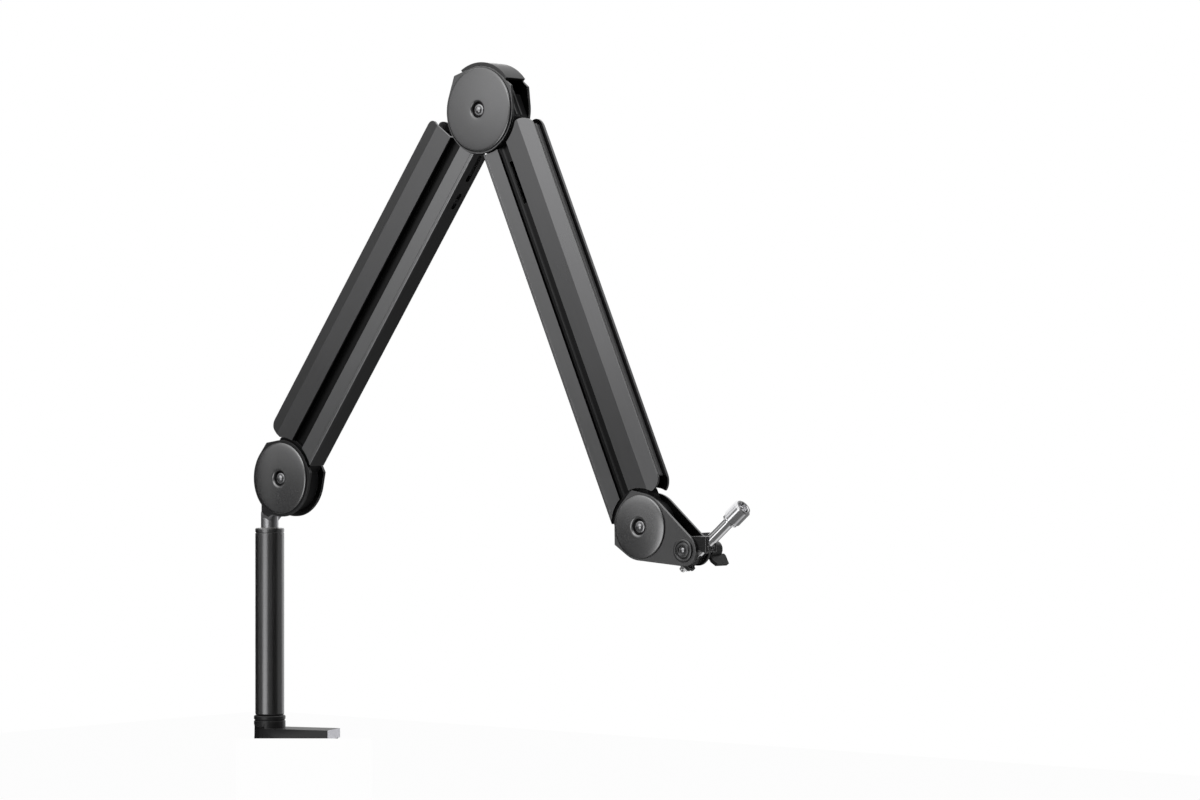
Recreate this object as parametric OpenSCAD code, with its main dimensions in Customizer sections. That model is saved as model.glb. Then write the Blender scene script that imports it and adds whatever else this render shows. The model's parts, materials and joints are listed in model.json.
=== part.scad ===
// Desk-clamped microphone boom arm: screw clamp, riser tube, swivel yoke, two sprung arms
// with cable channels, end link and a tilting mount with a 5/8 inch threaded adapter.
// Millimetres, +Z up. The origin is the middle of the upper jaw's pad, on the desk surface.

/* [Pose at rest] */
// Turn of the arms about the riser, away from the clamp's own direction
pan_rest = 21; // [0:1:60]
// Slope of the lower arm above level
lower_slope = 54; // [45:0.5:70]
// Slope of the upper arm, downwards past the elbow
upper_slope = -65.4; // [-70:0.2:-55]
// Slope of the end link
link_slope = -22; // [-40:1:0]
// Slope of the microphone rod
rod_slope = 39.5; // [20:0.5:60]

/* [Clamp] */
// Width of the clamp's jaws and diameter of its column
clamp_w = 28.4; // [27:0.2:36]
// Reach of the upper jaw past the riser axis
jaw_reach = 62.5; // [55:0.5:80]
// Thickness of the upper jaw, pad included
jaw_t = 9.5; // [8:0.5:14]
// Thickness of the rubber jaw pad
pad_t = 1.2; // [0.8:0.1:2]
// Inner face of the spine, measured from the riser axis
spine_in = 14.8; // [12:0.2:20]
// Clear height between the jaws
throat = 74; // [66:1:90]
// Thickness of the lower jaw
low_jaw_t = 14; // [12:1:20]
// Height of the column and its collar above the desk
column_h = 20.7; // [18:0.1:26]
// Desk thickness that the clamp is closed on
desk_t = 30; // [20:1:34]
// Radius of the clamp spindle
spindle_r = 5; // [4:0.5:6]
// Radius of the swivelling foot
foot_r = 15; // [12:0.5:18]

/* [Riser] */
// Diameter of the riser tube
riser_d = 26; // [25:0.5:27]
// Height of the riser's top above the desk
riser_top = 189; // [150:1:260]
// Radius of the yoke's neck and stem
neck_r = 7.6; // [6:0.2:8.4]
// Length of the stem inside the riser
stem_len = 70; // [50:1:100]

/* [Joints] */
// Forward offset of the base pivot from the riser axis
pivot_reach = 24; // [22:0.5:30]
// Height of the base pivot over the riser's top
pivot_rise = 45; // [44:0.5:48]
// Width of the base and end joints over their plates
yoke_w = 20.2; // [19:0.2:22]
// Thickness of each joint plate
plate_t = 2.5; // [2:0.1:3]
// Thickness of the friction washers
washer_t = 0.5; // [0.3:0.1:0.6]
// Radius of the base joint's plates
base_r = 34.2; // [32:0.2:35]
// Radius of the elbow joint's plates
elbow_r = 37.6; // [36:0.2:39]
// Radius of the end joint's plates
end_r = 28; // [27:0.5:30]
// Radius of the joint axles
axle_r = 6; // [5:0.5:7]
// Thickness of the dished joint caps
cap_h = 3; // [2.4:0.1:3.6]
// Reach of the plates' corners past their round outline
corner_out = 2.4; // [2:0.2:3]

/* [Arms] */
// Distance between the lower arm's pivots, along the beam
lower_len = 398; // [340:1:440]
// Distance between the upper arm's pivots, along the beam
upper_len = 394.5; // [340:0.5:440]
// Width of the square beam
beam_w = 18.6; // [17.6:0.2:19.6]
// Height of the square beam
beam_h = 17; // [15:0.5:19]
// Wall of the beam and the channel
wall = 2; // [1.6:0.1:2.2]
// Height of the neck between beam and channel
neck_h = 13; // [11:0.5:15]
// Width of that neck
neck_w = 10; // [8:0.5:12]
// Width of the cable channel
channel_w = 21.8; // [20.8:0.2:22.4]
// Height of the channel's straight sides
side_h = 18.5; // [16:0.5:21]
// Height of the channel's leaning flanges
flange_h = 12.5; // [10:0.5:14]
// How far each flange leans in
flange_lean = 3.6; // [3:0.1:4.4]
// Radius of the flanges' end corners on the lower arm
lower_corner = 7; // [5:0.5:9]
// Radius of the flanges' end corners on the upper arm
upper_corner = 11.5; // [8:0.5:12]
// Distance of the base pivot from the beam's inner face
base_in = 21.5; // [20:0.5:23]
// Distance of the elbow pivot from both beams' inner faces
elbow_in = 15; // [14:0.5:16]
// Distance of the end pivot from the beam's inner face
end_in = 28.6; // [27:0.2:31]
// Outer radius of the balance springs
spring_r = 5.6; // [4.5:0.1:6]
// Length of the balance springs
spring_len = 190; // [120:5:200]

/* [End link and mount] */
// Distance from the end pivot to the tilt pivot
link_len = 49.3; // [46:0.1:56]
// Radius of the link's small end
link_tip_r = 13; // [12:0.5:14]
// Offset of the microphone rod from the tilt pivot
rod_drop = 6.7; // [6:0.1:8]
// Radius of the microphone rod
rod_r = 4.75; // [4:0.25:5]
// Distance from the tilt pivot to the adapter's shoulder
adapter_at = 49.5; // [44:0.5:60]
// Outer radius of the adapter's 5/8 inch thread
adapter_r = 7.94; // [7.94]
// Length of the adapter's thread
adapter_len = 16; // [12:0.5:20]
// Span of the wing nut
wing_span = 31; // [26:1:36]

/* [Hidden] */

$fn = 64;

// Clearances: run between turning faces, fit between a shaft and its bore, seat between parts
// that are pushed together, swing between shapes that pass each other
run = 0.2;
fit = 0.05;
seat = 0.1;
swing = 0.4;

black = [0.16, 0.16, 0.17];
satin = [0.25, 0.25, 0.26];
silver = [0.75, 0.75, 0.77];

// Places across the joints, along Y from the arms' middle plane
beam_side = beam_w / 2;
plate_in = beam_side + 0.3;
plate_out = plate_in + plate_t;
drum_side = plate_in - washer_t - run;
yoke_out = yoke_w / 2;
yoke_in = yoke_out - plate_t;
yoke_drum = yoke_in - washer_t - run;

// Clamp, from the riser axis along the clamp's own direction
column_r = clamp_w / 2;
riser_r = riser_d / 2;
jaw_mid = (spine_in + jaw_reach) / 2;
riser_at = [-jaw_mid * cos(pan_rest), -jaw_mid * sin(pan_rest)];
low_jaw_z = -throat - low_jaw_t;
spindle_x = jaw_mid;
foot_pad_t = 1.5;
foot_t = 6;
foot_z = -desk_t - foot_pad_t - foot_t;
spindle_tip = foot_z + 3;
knob_t = 12;
spindle_low = low_jaw_z - 40;
spigot_r = 9;
spigot_len = 34;
riser_wall = 3;
bush_h = 14;

// Heights and places in the arms' plane
pivot_z = riser_top + pivot_rise;
function turn(p, a) = [p[0] * cos(a) - p[1] * sin(a), p[0] * sin(a) + p[1] * cos(a)];
function polar(r, a) = [r * cos(a), r * sin(a)];
base_p = [pivot_reach, pivot_z];
elbow_p = base_p + turn([lower_len, elbow_in - base_in], lower_slope);
end_p = elbow_p + turn([upper_len, end_in - elbow_in], upper_slope);
tilt_p = end_p + turn([link_len, 0], link_slope);

// Levels of the arm section, from the beam's inner face outwards
floor_n = beam_h + neck_h;
fold_n = floor_n + side_h;
lip_n = fold_n + flange_h;
lip_y = channel_w / 2 - flange_lean;
mouth_n = fold_n - 3;

// Round ends of the moving parts, from small to large
base_drum_r = base_r - 4.5;
elbow_drum_r = elbow_r - 10.6;
end_drum_r = end_r - 4;
shield_t = 3.2;
base_corner_r = base_r + corner_out;
elbow_corner_r = elbow_r + corner_out + 0.6;
end_corner_r = end_r + corner_out + 1.4;
base_clear = base_corner_r + swing;
elbow_clear = elbow_r + shield_t + swing;
end_clear = end_corner_r + swing;
beam_base_clear = base_clear;
beam_elbow_clear = elbow_r + 0.9;
beam_end_clear = end_clear;
channel_base_s = 29.5;
channel_fork_s = 38;
channel_elbow_s = 26.5;
channel_end_s = 22;

// Joint details
bush_r = axle_r + 2.5;
bush_flange_r = axle_r + 5;
stop_r = 2.5;
base_stop_at = 21;
elbow_stop_at = 19.5;
base_stop_angle = 200;
elbow_stop_angle = 60;
base_lower = 55;
base_raise = 45;
elbow_close = 12;
elbow_open = 75;
cap_floor = 1.2;
recess_r = 7;
cap_screw_r = 2;
cap_head_r = 3.6;
shield_from = 40;
shield_to = 121;

// Springs, anchors and screws in the arms
cavity_w = beam_w - 2 * wall;
cavity_h = beam_h - 2 * wall;
shank_in = 36;
anchor_len = 16;
anchor_from_elbow = 84;
spring_axis_n = beam_h / 2;
channel_screw_count = 3;
channel_screw_r = 2;
cover_top = 3;
cover_edge = 6;
slot_w = 5;

// Link and mount details
tilt_bolt_r = 2.5;
spacer_r = 3.5;
spacer_sink = 1.2;
spacer_x = end_drum_r + (link_len - end_drum_r - 11.5) / 2;
barrel_r = 11.5;
rod_from = 6;
tail_r = 2.5;
shank_r = 4.1;
stud_r = 3.5;
tail_to = -18;
knuckle_x0 = -11.5;
tail_nut_from = knuckle_x0 - 3.2 - run;
knuckle_x1 = 19;
rod_shoulder = knuckle_x1 + 5;
knuckle_side = yoke_in - run - 0.2;
knuckle_top = 11.8;
knuckle_low = rod_drop + rod_r + 1.4;
split_w = 1.6;
lip_half = 3.4;
thread_r = 4.7;
socket_len = 9;
wing_y = yoke_out + 8;
wing_angle = 125;
hub_h = 15;

// Frames: the clamp's own direction, the arms' plane and each turning body
module in_clamp() translate([riser_at[0], riser_at[1], 0]) rotate([0, 0, pan_rest]) children();
module in_plane() translate([riser_at[0], riser_at[1], 0]) children();
module at_pivot(p, slope = 0) in_plane() translate([p[0], 0, p[1]]) rotate([0, -slope, 0]) children();
module in_lower() at_pivot(base_p, lower_slope) translate([0, 0, -base_in]) children();
module in_upper() at_pivot(elbow_p, upper_slope) translate([0, 0, -elbow_in]) children();
module in_link() at_pivot(end_p, link_slope) children();
module in_knuckle() at_pivot(tilt_p, rod_slope) children();

// A cylinder along Y, a plate across Y from an outline in XZ, and a bar along X from a section in YZ
module yrod(r, y0, y1) translate([0, y1, 0]) rotate([90, 0, 0]) cylinder(r = r, h = y1 - y0);
module ytube(r, hole, y0, y1) difference() {
    yrod(r, y0, y1);
    yrod(hole, y0 - 1, y1 + 1);
}
module yplate(y0, y1) translate([0, y1, 0]) rotate([90, 0, 0]) linear_extrude(height = y1 - y0) children();
module xbar(x0, x1) translate([x0, 0, 0]) rotate([90, 0, 90]) linear_extrude(height = x1 - x0) children();
module both_sides() {
    children();
    mirror([0, 1, 0]) children();
}
module ybox(x0, x1, half, z0, z1) translate([x0, -half, z0]) cube([x1 - x0, 2 * half, z1 - z0]);

// A rectangle with round corners, centred, built from exact arcs
module round_rect(w, h, r) {
    square([w - 2 * r, h], center = true);
    square([w, h - 2 * r], center = true);
    for (x = [-1, 1], y = [-1, 1]) translate([x * (w / 2 - r), y * (h / 2 - r)]) circle(r);
}

// The kite that adds a corner, at radius rc and angle a, to a round plate of radius r. Its sides
// start just inside the round edge, so that they cross it rather than graze it.
graze = 0.02;
module corner(r, rc, a) {
    h = acos(r / rc);
    polygon([[0, 0], polar(r - graze, a - h), polar(rc, a), polar(r - graze, a + h)]);
}

// A curved slot about the origin, from angle a0 to a1, less than half a turn
module arc_slot(r, w, a0, a1) {
    intersection() {
        difference() {
            circle(r + w / 2);
            circle(r - w / 2);
        }
        polygon([[0, 0], polar(3 * r, a0), polar(3 * r, (a0 + a1) / 2), polar(3 * r, a1)]);
    }
    for (a = [a0, a1]) translate(polar(r, a)) circle(w / 2 - graze);
}

// Clamp
module clamp_section() {
    circle(column_r);
    translate([0, -column_r]) square([spine_in, clamp_w]);
}
module clamp_frame() in_clamp() color(black) difference() {
    union() {
        translate([0, 0, low_jaw_z]) linear_extrude(height = jaw_t - low_jaw_z) clamp_section();
        cylinder(r = column_r, h = column_h - 4.5);
        ybox(0, jaw_reach, column_r, pad_t, jaw_t);
        ybox(0, jaw_reach - 4, column_r, low_jaw_z, -throat);
        translate([spindle_x, 0, low_jaw_z - 4]) cylinder(r = spindle_r + 5, h = 5);
    }
    translate([0, 0, column_h - spigot_len - 1]) cylinder(r = spigot_r + fit, h = spigot_len + 2);
    translate([spindle_x, 0, low_jaw_z - 5]) cylinder(r = spindle_r + fit, h = low_jaw_t + 6);
    translate([0, 0, 12]) for (z = [0, 4]) translate([0, 0, z - 0.4]) difference() {
        cylinder(r = column_r + 1, h = 0.8);
        translate([0, 0, -1]) cylinder(r = column_r - 0.6, h = 3);
        translate([0, -column_r - 1, -1]) cube([column_r + 1, clamp_w + 2, z == 0 ? 3 : 0.5]);
    }
    translate([0, 0, grub_z]) rotate([0, -90, 0]) cylinder(r = grub_r + fit, h = column_r + 1);
}
grub_z = 0;
grub_r = 2.5;
module jaw_pad() in_clamp() color([0.1, 0.1, 0.1]) difference() {
    ybox(spine_in, jaw_reach - 1.5, column_r - 0.8, 0, pad_t);
    for (k = [0:4]) ybox(spine_in + 6 + 8 * k, spine_in + 7 + 8 * k, column_r, -1, 0.5);
}
module clamp_collar() in_clamp() color(black) translate([0, 0, column_h - 4.5]) difference() {
    union() {
        cylinder(r = column_r - 0.7, h = 1);
        translate([0, 0, 1]) cylinder(r = column_r, h = 2.8);
        translate([0, 0, 3.8]) cylinder(r1 = column_r, r2 = column_r - 0.7, h = 0.7);
    }
    translate([0, 0, -1]) cylinder(r = spigot_r + fit, h = 7);
}
module riser_grub_screw() in_clamp() color(black)
    translate([0, 0, grub_z]) rotate([0, -90, 0]) difference() {
    translate([0, 0, spigot_r]) cylinder(r = grub_r, h = column_r - spigot_r);
    translate([0, 0, column_r - 2.5]) cylinder(r = 1.4, h = 4, $fn = 6);
}

// Riser: a tube with a turned foot that stands in the clamp's column
module riser_tube() in_plane() color(satin) {
    difference() {
        union() {
            translate([0, 0, column_h]) cylinder(r1 = riser_r - 1, r2 = riser_r, h = 1.5);
            translate([0, 0, column_h + 1.5]) cylinder(r = riser_r, h = riser_top - column_h - 2.3);
            translate([0, 0, riser_top - 0.8]) cylinder(r1 = riser_r, r2 = riser_r - 0.8, h = 0.8);
            translate([0, 0, column_h - spigot_len]) cylinder(r = spigot_r, h = spigot_len + 1);
        }
        translate([0, 0, column_h + 6]) cylinder(r = riser_r - riser_wall, h = riser_top);
        translate([0, 0, column_h - spigot_len - 1]) cylinder(r = spigot_r - riser_wall, h = spigot_len + 9);
        translate([0, 0, riser_top - 4.6]) difference() {
            cylinder(r = riser_r + 1, h = 0.9);
            translate([0, 0, -1]) cylinder(r = riser_r - 0.5, h = 3);
        }
    }
}
module riser_bush(z) translate([0, 0, z]) difference() {
    cylinder(r = riser_r - riser_wall, h = bush_h);
    translate([0, 0, -1]) cylinder(r = neck_r + fit, h = bush_h + 2);
}
module riser_bushes() in_plane() color([0.85, 0.84, 0.8]) {
    riser_bush(riser_top - bush_h);
    riser_bush(riser_top - stem_len + 6);
}

// Clamp screw and foot
module clamp_spindle() in_clamp() color(silver) translate([spindle_x, 0, 0]) {
    translate([0, 0, spindle_low + knob_t]) cylinder(r = spindle_r, h = foot_z - spindle_low - knob_t - run);
    translate([0, 0, foot_z - run - 0.01]) cylinder(r = 3, h = spindle_tip - foot_z + run + 0.01);
    translate([0, 0, spindle_low + 3]) cylinder(r = spindle_r - 1, h = knob_t);
}
module clamp_handle() in_clamp() color(black) translate([spindle_x, 0, spindle_low]) difference() {
    union() {
        cylinder(r = 11, h = knob_t);
        translate([0, 0, knob_t]) cylinder(r1 = 9, r2 = 7, h = 3);
        for (a = [0, 180]) rotate([0, 0, a]) {
            translate([0, -3.5, 2]) cube([22, 7, 8]);
            translate([22, 0, 2]) cylinder(r = 5.5, h = 8);
        }
    }
    translate([0, 0, 3]) cylinder(r = spindle_r - 1 + seat, h = knob_t);
    translate([0, 0, knob_t]) cylinder(r = spindle_r + seat, h = 4);
    translate([0, 0, -1]) cylinder(r = 1.6, h = 6);
    translate([0, 0, -1]) cylinder(r = 4.2, h = 2.4);
}
module handle_screw() in_clamp() color(silver) translate([spindle_x, 0, spindle_low]) {
    translate([0, 0, 0.4]) difference() {
        cylinder(r = 3.8, h = 1);
        translate([0, 0, -0.1]) cylinder(r = 1.3, h = 0.9, $fn = 6);
    }
    translate([0, 0, 1.3]) cylinder(r = 1.5, h = 1.7);
}
module clamp_foot() in_clamp() color(black) translate([spindle_x, 0, foot_z]) difference() {
    union() {
        cylinder(r1 = 8, r2 = foot_r - 2, h = 2);
        translate([0, 0, 2]) cylinder(r1 = foot_r - 2, r2 = foot_r, h = 2);
        translate([0, 0, 4]) cylinder(r = foot_r, h = foot_t - 4);
    }
    translate([0, 0, -1]) cylinder(r = 3 + fit, h = 4 + run);
}
module foot_pad() in_clamp() color([0.1, 0.1, 0.1])
    translate([spindle_x, 0, foot_z + foot_t]) difference() {
    cylinder(r = foot_r - 0.8, h = foot_pad_t);
    for (r = [5, 9.5]) translate([0, 0, foot_pad_t - 0.5]) difference() {
        cylinder(r = r + 0.5, h = 1);
        translate([0, 0, -1]) cylinder(r = r - 0.5, h = 3);
    }
}

// Swivel yoke: two round ears on a saddle and a stem that turns in the riser
module base_outline() {
    circle(base_r);
    corner(base_r, base_corner_r, 9);
    corner(base_r, base_corner_r, 119.7);
}
saddle_x0 = -0.5;
saddle_x1 = 13;
saddle_low = riser_top + 5;
saddle_top = riser_top + 26;
module yoke_web() translate([-pivot_reach, -pivot_z]) polygon([[saddle_x0, saddle_low + 7],
    [saddle_x0, saddle_top], [saddle_x1, saddle_top],
    [saddle_x1, saddle_low + 9], [saddle_x1 - 2, saddle_low + 7]]);
module base_yoke() color(black) {
    at_pivot(base_p) difference() {
        union() {
            both_sides() yplate(yoke_in, yoke_out) {
                base_outline();
                yoke_web();
            }
            difference() {
                translate([-pivot_reach, 0, -pivot_z]) intersection() {
                    xbar(saddle_x0, saddle_x1) polygon([[-5, saddle_low], [5, saddle_low],
                        [yoke_out, saddle_low + 8], [yoke_out, saddle_top], [-yoke_out, saddle_top],
                        [-yoke_out, saddle_low + 8]]);
                    yplate(-30, 30) polygon([[saddle_x0, saddle_low - 1], [4, saddle_low - 1],
                        [saddle_x1 - 6, saddle_low + 6], [saddle_x1, saddle_low + 13],
                        [saddle_x1, saddle_top + 1], [saddle_x0, saddle_top + 1]]);
                }
                yrod(base_r - 2, -yoke_out - 1, yoke_out + 1);
            }
        }
        yrod(axle_r + fit, -yoke_out - 1, yoke_out + 1);
        rotate([0, -base_stop_angle, 0]) translate([base_stop_at, 0, 0])
            yrod(stop_r + fit, -yoke_out - 1, yoke_out + 1);
    }
    in_plane() difference() {
        union() {
            translate([0, 0, riser_top - stem_len]) cylinder(r = neck_r, h = stem_len + 15);
            translate([0, 0, riser_top + 0.3]) cylinder(r = neck_r + 0.3, h = 14);
        }
        translate([0, 0, riser_top - stem_len + 2.9]) difference() {
            cylinder(r = neck_r + 1, h = 1.4);
            translate([0, 0, -1]) cylinder(r = neck_r - 1, h = 4);
        }
        translate([pivot_reach, 0, pivot_z]) yrod(base_r - 2, -30, 30);
    }
}
module yoke_clip() in_plane() color(silver) translate([0, 0, riser_top - stem_len + 3]) difference() {
    cylinder(r = riser_r - riser_wall - 0.7, h = 1.2);
    translate([0, 0, -1]) cylinder(r = neck_r - 1 + fit, h = 4);
    translate([0, -2, -1]) cube([riser_r, 4, 4]);
}

// Parts that every main joint has: axle, dished caps, cap screws, washers and flanged bushes
module axle(out = plate_out) color(silver) difference() {
    yrod(axle_r, -out, out);
    both_sides() yrod(cap_screw_r + fit, out - 9, out + 1);
}
module cap(r, out = plate_out) color(satin)
    translate([0, out, 0]) rotate([-90, 0, 0]) rotate_extrude() polygon([
    [cap_screw_r + fit, 0], [r, 0], [r, cap_h - 2], [r - 0.3, cap_h - 1.4], [r - 1, cap_h - 1],
    [r - 2.4, cap_h - 0.7], [r - 6, cap_h - 0.4], [r * 0.55, cap_h - 0.1], [recess_r + 1.8, cap_h],
    [recess_r + 0.7, cap_h - 0.15], [recess_r, cap_h - 0.6], [recess_r - 0.5, cap_floor + 0.3],
    [recess_r - 1, cap_floor], [cap_screw_r + fit, cap_floor]]);
module cap_screw(out = plate_out) color(silver) translate([0, out, 0]) rotate([-90, 0, 0]) difference() {
    union() {
        translate([0, 0, -8]) cylinder(r = cap_screw_r, h = 8 + cap_floor);
        translate([0, 0, cap_floor]) cylinder(r = cap_head_r, h = 0.6);
        translate([0, 0, cap_floor + 0.6]) cylinder(r1 = cap_head_r, r2 = cap_head_r - 1.4, h = 1);
    }
    translate([0, 0, cap_floor + 0.6]) cylinder(r = 1.25, h = 2, $fn = 6);
}
module washers(r, inner = plate_in) color([0.8, 0.79, 0.72]) both_sides()
    ytube(r, axle_r + fit, inner - washer_t, inner);
module bushes(side = drum_side) color([0.72, 0.55, 0.3]) both_sides() {
    ytube(bush_r, axle_r + fit, 1, side - 1);
    ytube(bush_flange_r, axle_r + fit, side - 1, side);
}
module bush_seats(side = drum_side) {
    yrod(bush_r, -side - 1, side + 1);
    both_sides() yrod(bush_flange_r, side - 1, side + 2);
}

module base_axle() at_pivot(base_p) axle(yoke_out);
module base_cap_front() at_pivot(base_p) mirror([0, 1, 0]) cap(base_r - 2.4, yoke_out);
module base_cap_back() at_pivot(base_p) cap(base_r - 2.4, yoke_out);
module base_cap_screws() at_pivot(base_p) both_sides() cap_screw(yoke_out);
module base_washers() at_pivot(base_p) washers(base_stop_at - stop_r - 1, yoke_in);
module base_stop_pin() at_pivot(base_p) rotate([0, -base_stop_angle, 0]) translate([base_stop_at, 0, 0])
    color(silver) yrod(stop_r, -yoke_out, yoke_out);

// Arm section: a square tube, a waisted neck and, above it, the cable channel
module beam_section() difference() {
    union() {
        translate([0, beam_h / 2]) round_rect(beam_w, beam_h, 1.4);
        translate([-beam_w / 2, beam_h / 2]) square([beam_w, beam_h / 2]);
        translate([-neck_w / 2, beam_h - 1]) square([neck_w, neck_h + 1]);
        for (m = [0, 1]) mirror([m, 0]) difference() {
            translate([neck_w / 2 - 0.1, beam_h - 0.1]) square((beam_w - neck_w) / 2);
            translate([beam_w / 2, beam_h + (beam_w - neck_w) / 2]) circle((beam_w - neck_w) / 2);
        }
    }
    translate([0, beam_h / 2]) square([cavity_w, cavity_h], center = true);
    translate([-neck_w / 2 + wall, beam_h + 1]) square([neck_w - 2 * wall, neck_h - wall - 1]);
    for (m = [0, 1]) mirror([m, 0]) translate([beam_w / 2, wall + 1.2]) circle(0.45);
}
function both_halves(half) = concat(half, [for (i = [len(half) - 1:-1:0]) [-half[i][0], half[i][1]]]);
module channel_section() polygon(both_halves([[channel_w / 2, floor_n], [channel_w / 2, fold_n],
    [lip_y, lip_n], [lip_y - wall, lip_n - 0.5], [channel_w / 2 - wall, fold_n - 0.2],
    [channel_w / 2 - wall, floor_n + wall]]));

// Side outline of a channel between the arm's places s0 and s1, with round outer corners
module channel_side(s0, s1, rc) {
    translate([s0, floor_n - 1]) square([s1 - s0, lip_n - floor_n + 1 - rc]);
    translate([s0 + rc, floor_n]) square([s1 - s0 - 2 * rc, lip_n - floor_n + 1]);
    for (s = [s0 + rc, s1 - rc]) translate([s, lip_n - rc]) circle(rc);
}
module beam(len, s0, p0, clear0, s1, p1, clear1) difference() {
    xbar(s0, s1) beam_section();
    translate([0, 0, p0]) yrod(clear0, -30, 30);
    translate([len, 0, p1]) yrod(clear1, -30, 30);
}
module channel(len, s0, p0, clear0, s1, p1, clear1, rc) difference() {
    intersection() {
        xbar(s0, s1) channel_section();
        yplate(-30, 30) channel_side(s0, s1, rc);
    }
    translate([0, 0, p0]) yrod(clear0, -30, 30);
    translate([len, 0, p1]) yrod(clear1, -30, 30);
    channel_screws_at(s0, s1) {
        translate([0, 0, floor_n - 1]) cylinder(r = channel_screw_r + fit, h = 4);
        translate([0, 0, floor_n + wall - 1]) cylinder(r1 = channel_screw_r + fit, r2 = 4, h = 1.9);
    }
}
module channel_screws_at(s0, s1) for (k = [0:channel_screw_count - 1])
    translate([s0 + 40 + (s1 - s0 - 80) * k / (channel_screw_count - 1), 0, 0]) children();
module channel_screws(s0, s1) color(silver) channel_screws_at(s0, s1) difference() {
    union() {
        translate([0, 0, floor_n - wall + 0.2]) cylinder(r = channel_screw_r, h = wall + 1);
        translate([0, 0, floor_n + wall - 1]) cylinder(r1 = channel_screw_r, r2 = 3.6, h = 1.6);
    }
    translate([0, 0, floor_n + wall - 0.2]) cylinder(r = 1.2, h = 2, $fn = 6);
}

// Cable cover: a springy strip that snaps under the lips, with a finger rib along its middle
module cover_section() {
    edge = lip_y - wall + flange_lean * cover_top / flange_h;
    face_n = lip_n - cover_top - 1.2;
    polygon(both_halves([[0.7, face_n + 1.8], [1.5, face_n + 1.3], [1.9, face_n], [edge - 0.5, face_n],
        [edge + 0.6, lip_n - cover_edge], [edge - 0.6, lip_n - cover_edge], [edge - 1.6, face_n - 1.2]]));
}
module cable_cover(s0, s1) color(satin) xbar(s0, s1) cover_section();

// Screwed anchor block in the beam and the balance spring that hooks on to it
module spring_anchor(s) translate([s, 0, spring_axis_n]) color(black) difference() {
    union() {
        ybox(-anchor_len / 2, anchor_len / 2, cavity_w / 2 - seat, -cavity_h / 2 + seat, cavity_h / 2 - seat);
        translate([0, 0, -spring_axis_n + 0.2]) cylinder(r = slot_w / 2 - 0.3, h = spring_axis_n);
    }
    translate([-anchor_len / 2 - 1, 0, 0]) rotate([0, 90, 0]) cylinder(r = 2.2, h = anchor_len - 3);
    translate([0, 0, -spring_axis_n - 0.8]) cylinder(r = 1.2, h = 2.5, $fn = 6);
}
module spring(s0, s1) color(silver) translate([0, 0, spring_axis_n]) rotate([0, 90, 0]) {
    translate([0, 0, s0 + 8]) difference() {
        cylinder(r = spring_r, h = s1 - s0 - 16);
        translate([0, 0, 2]) cylinder(r = spring_r - 1.7, h = s1 - s0 - 20);
        for (k = [1:floor((s1 - s0 - 16) / 12) - 1]) translate([0, 0, 12 * k]) difference() {
            cylinder(r = spring_r + 1, h = 0.8);
            translate([0, 0, -1]) cylinder(r = spring_r - 0.6, h = 3);
        }
    }
    translate([0, 0, s0]) cylinder(r = 1.9, h = 9);
    translate([0, 0, s1 - 9]) cylinder(r = 1.9, h = 9);
}

// Lower arm
lower_s0 = channel_base_s;
lower_s1 = lower_len - channel_fork_s;
lower_anchor_s = lower_len - anchor_from_elbow;
lower_slots = [[lower_len - 92.2, 16.4], [lower_len - 63.8, 27.5]];
module lower_beam() in_lower() color(satin) difference() {
    beam(lower_len, 20, base_in, beam_base_clear, lower_len - 20, elbow_in, beam_elbow_clear);
    for (slot = lower_slots) translate([slot[0], 0, -1]) linear_extrude(height = wall + 2) {
        translate([slot_w / 2, -slot_w / 2]) square([slot[1] - slot_w, slot_w]);
        for (x = [slot_w / 2, slot[1] - slot_w / 2]) translate([x, 0]) circle(slot_w / 2);
    }
    channel_screws_at(lower_s0, lower_s1) translate([0, 0, floor_n - wall - 1])
        cylinder(r = channel_screw_r + fit, h = 6);
}
module lower_channel() in_lower() color(satin)
    channel(lower_len, lower_s0, base_in, base_clear, lower_s1, elbow_in, elbow_r + 0.6, lower_corner);
module lower_cable_cover() in_lower() cable_cover(lower_s0 + 12, lower_s1 - 8);
module lower_channel_screws() in_lower() channel_screws(lower_s0, lower_s1);
shank_half = cavity_w / 2 - seat;
module shank(x0, x1, half = shank_half, from = wall + seat)
    ybox(x0, x1, half, from, beam_h - wall - seat);
module lower_tongue() in_lower() color(black) difference() {
    union() {
        translate([0, 0, base_in]) yrod(base_drum_r, -yoke_drum, yoke_drum);
        intersection() {
            ybox(0, base_clear + 2, yoke_drum, 1, mouth_n);
            translate([0, 0, base_in]) yrod(base_clear - 0.2, -30, 30);
        }
        shank(20, beam_base_clear + shank_in, min(shank_half, yoke_drum));
        shank(beam_base_clear + 2, beam_base_clear + shank_in);
    }
    translate([0, 0, base_in]) {
        bush_seats(yoke_drum);
        yplate(-30, 30) arc_slot(base_stop_at, 2 * stop_r + 2 * swing,
            base_stop_angle - lower_slope - base_raise - 2,
            base_stop_angle - lower_slope + base_lower + 2);
    }
}
module lower_bushes() in_lower() translate([0, 0, base_in]) bushes(yoke_drum);
lower_spring_s0 = beam_base_clear + shank_in + 0.3;
module lower_spring() in_lower() spring(lower_spring_s0, lower_spring_s0 + spring_len);
module lower_spring_anchor() in_lower() {
    spring_anchor(lower_anchor_s);
    tie = lower_spring_s0 + spring_len + 0.2;
    color(black) translate([tie, 0, spring_axis_n]) rotate([0, 90, 0])
        cylinder(r = 1.8, h = lower_anchor_s - tie);
}

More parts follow.
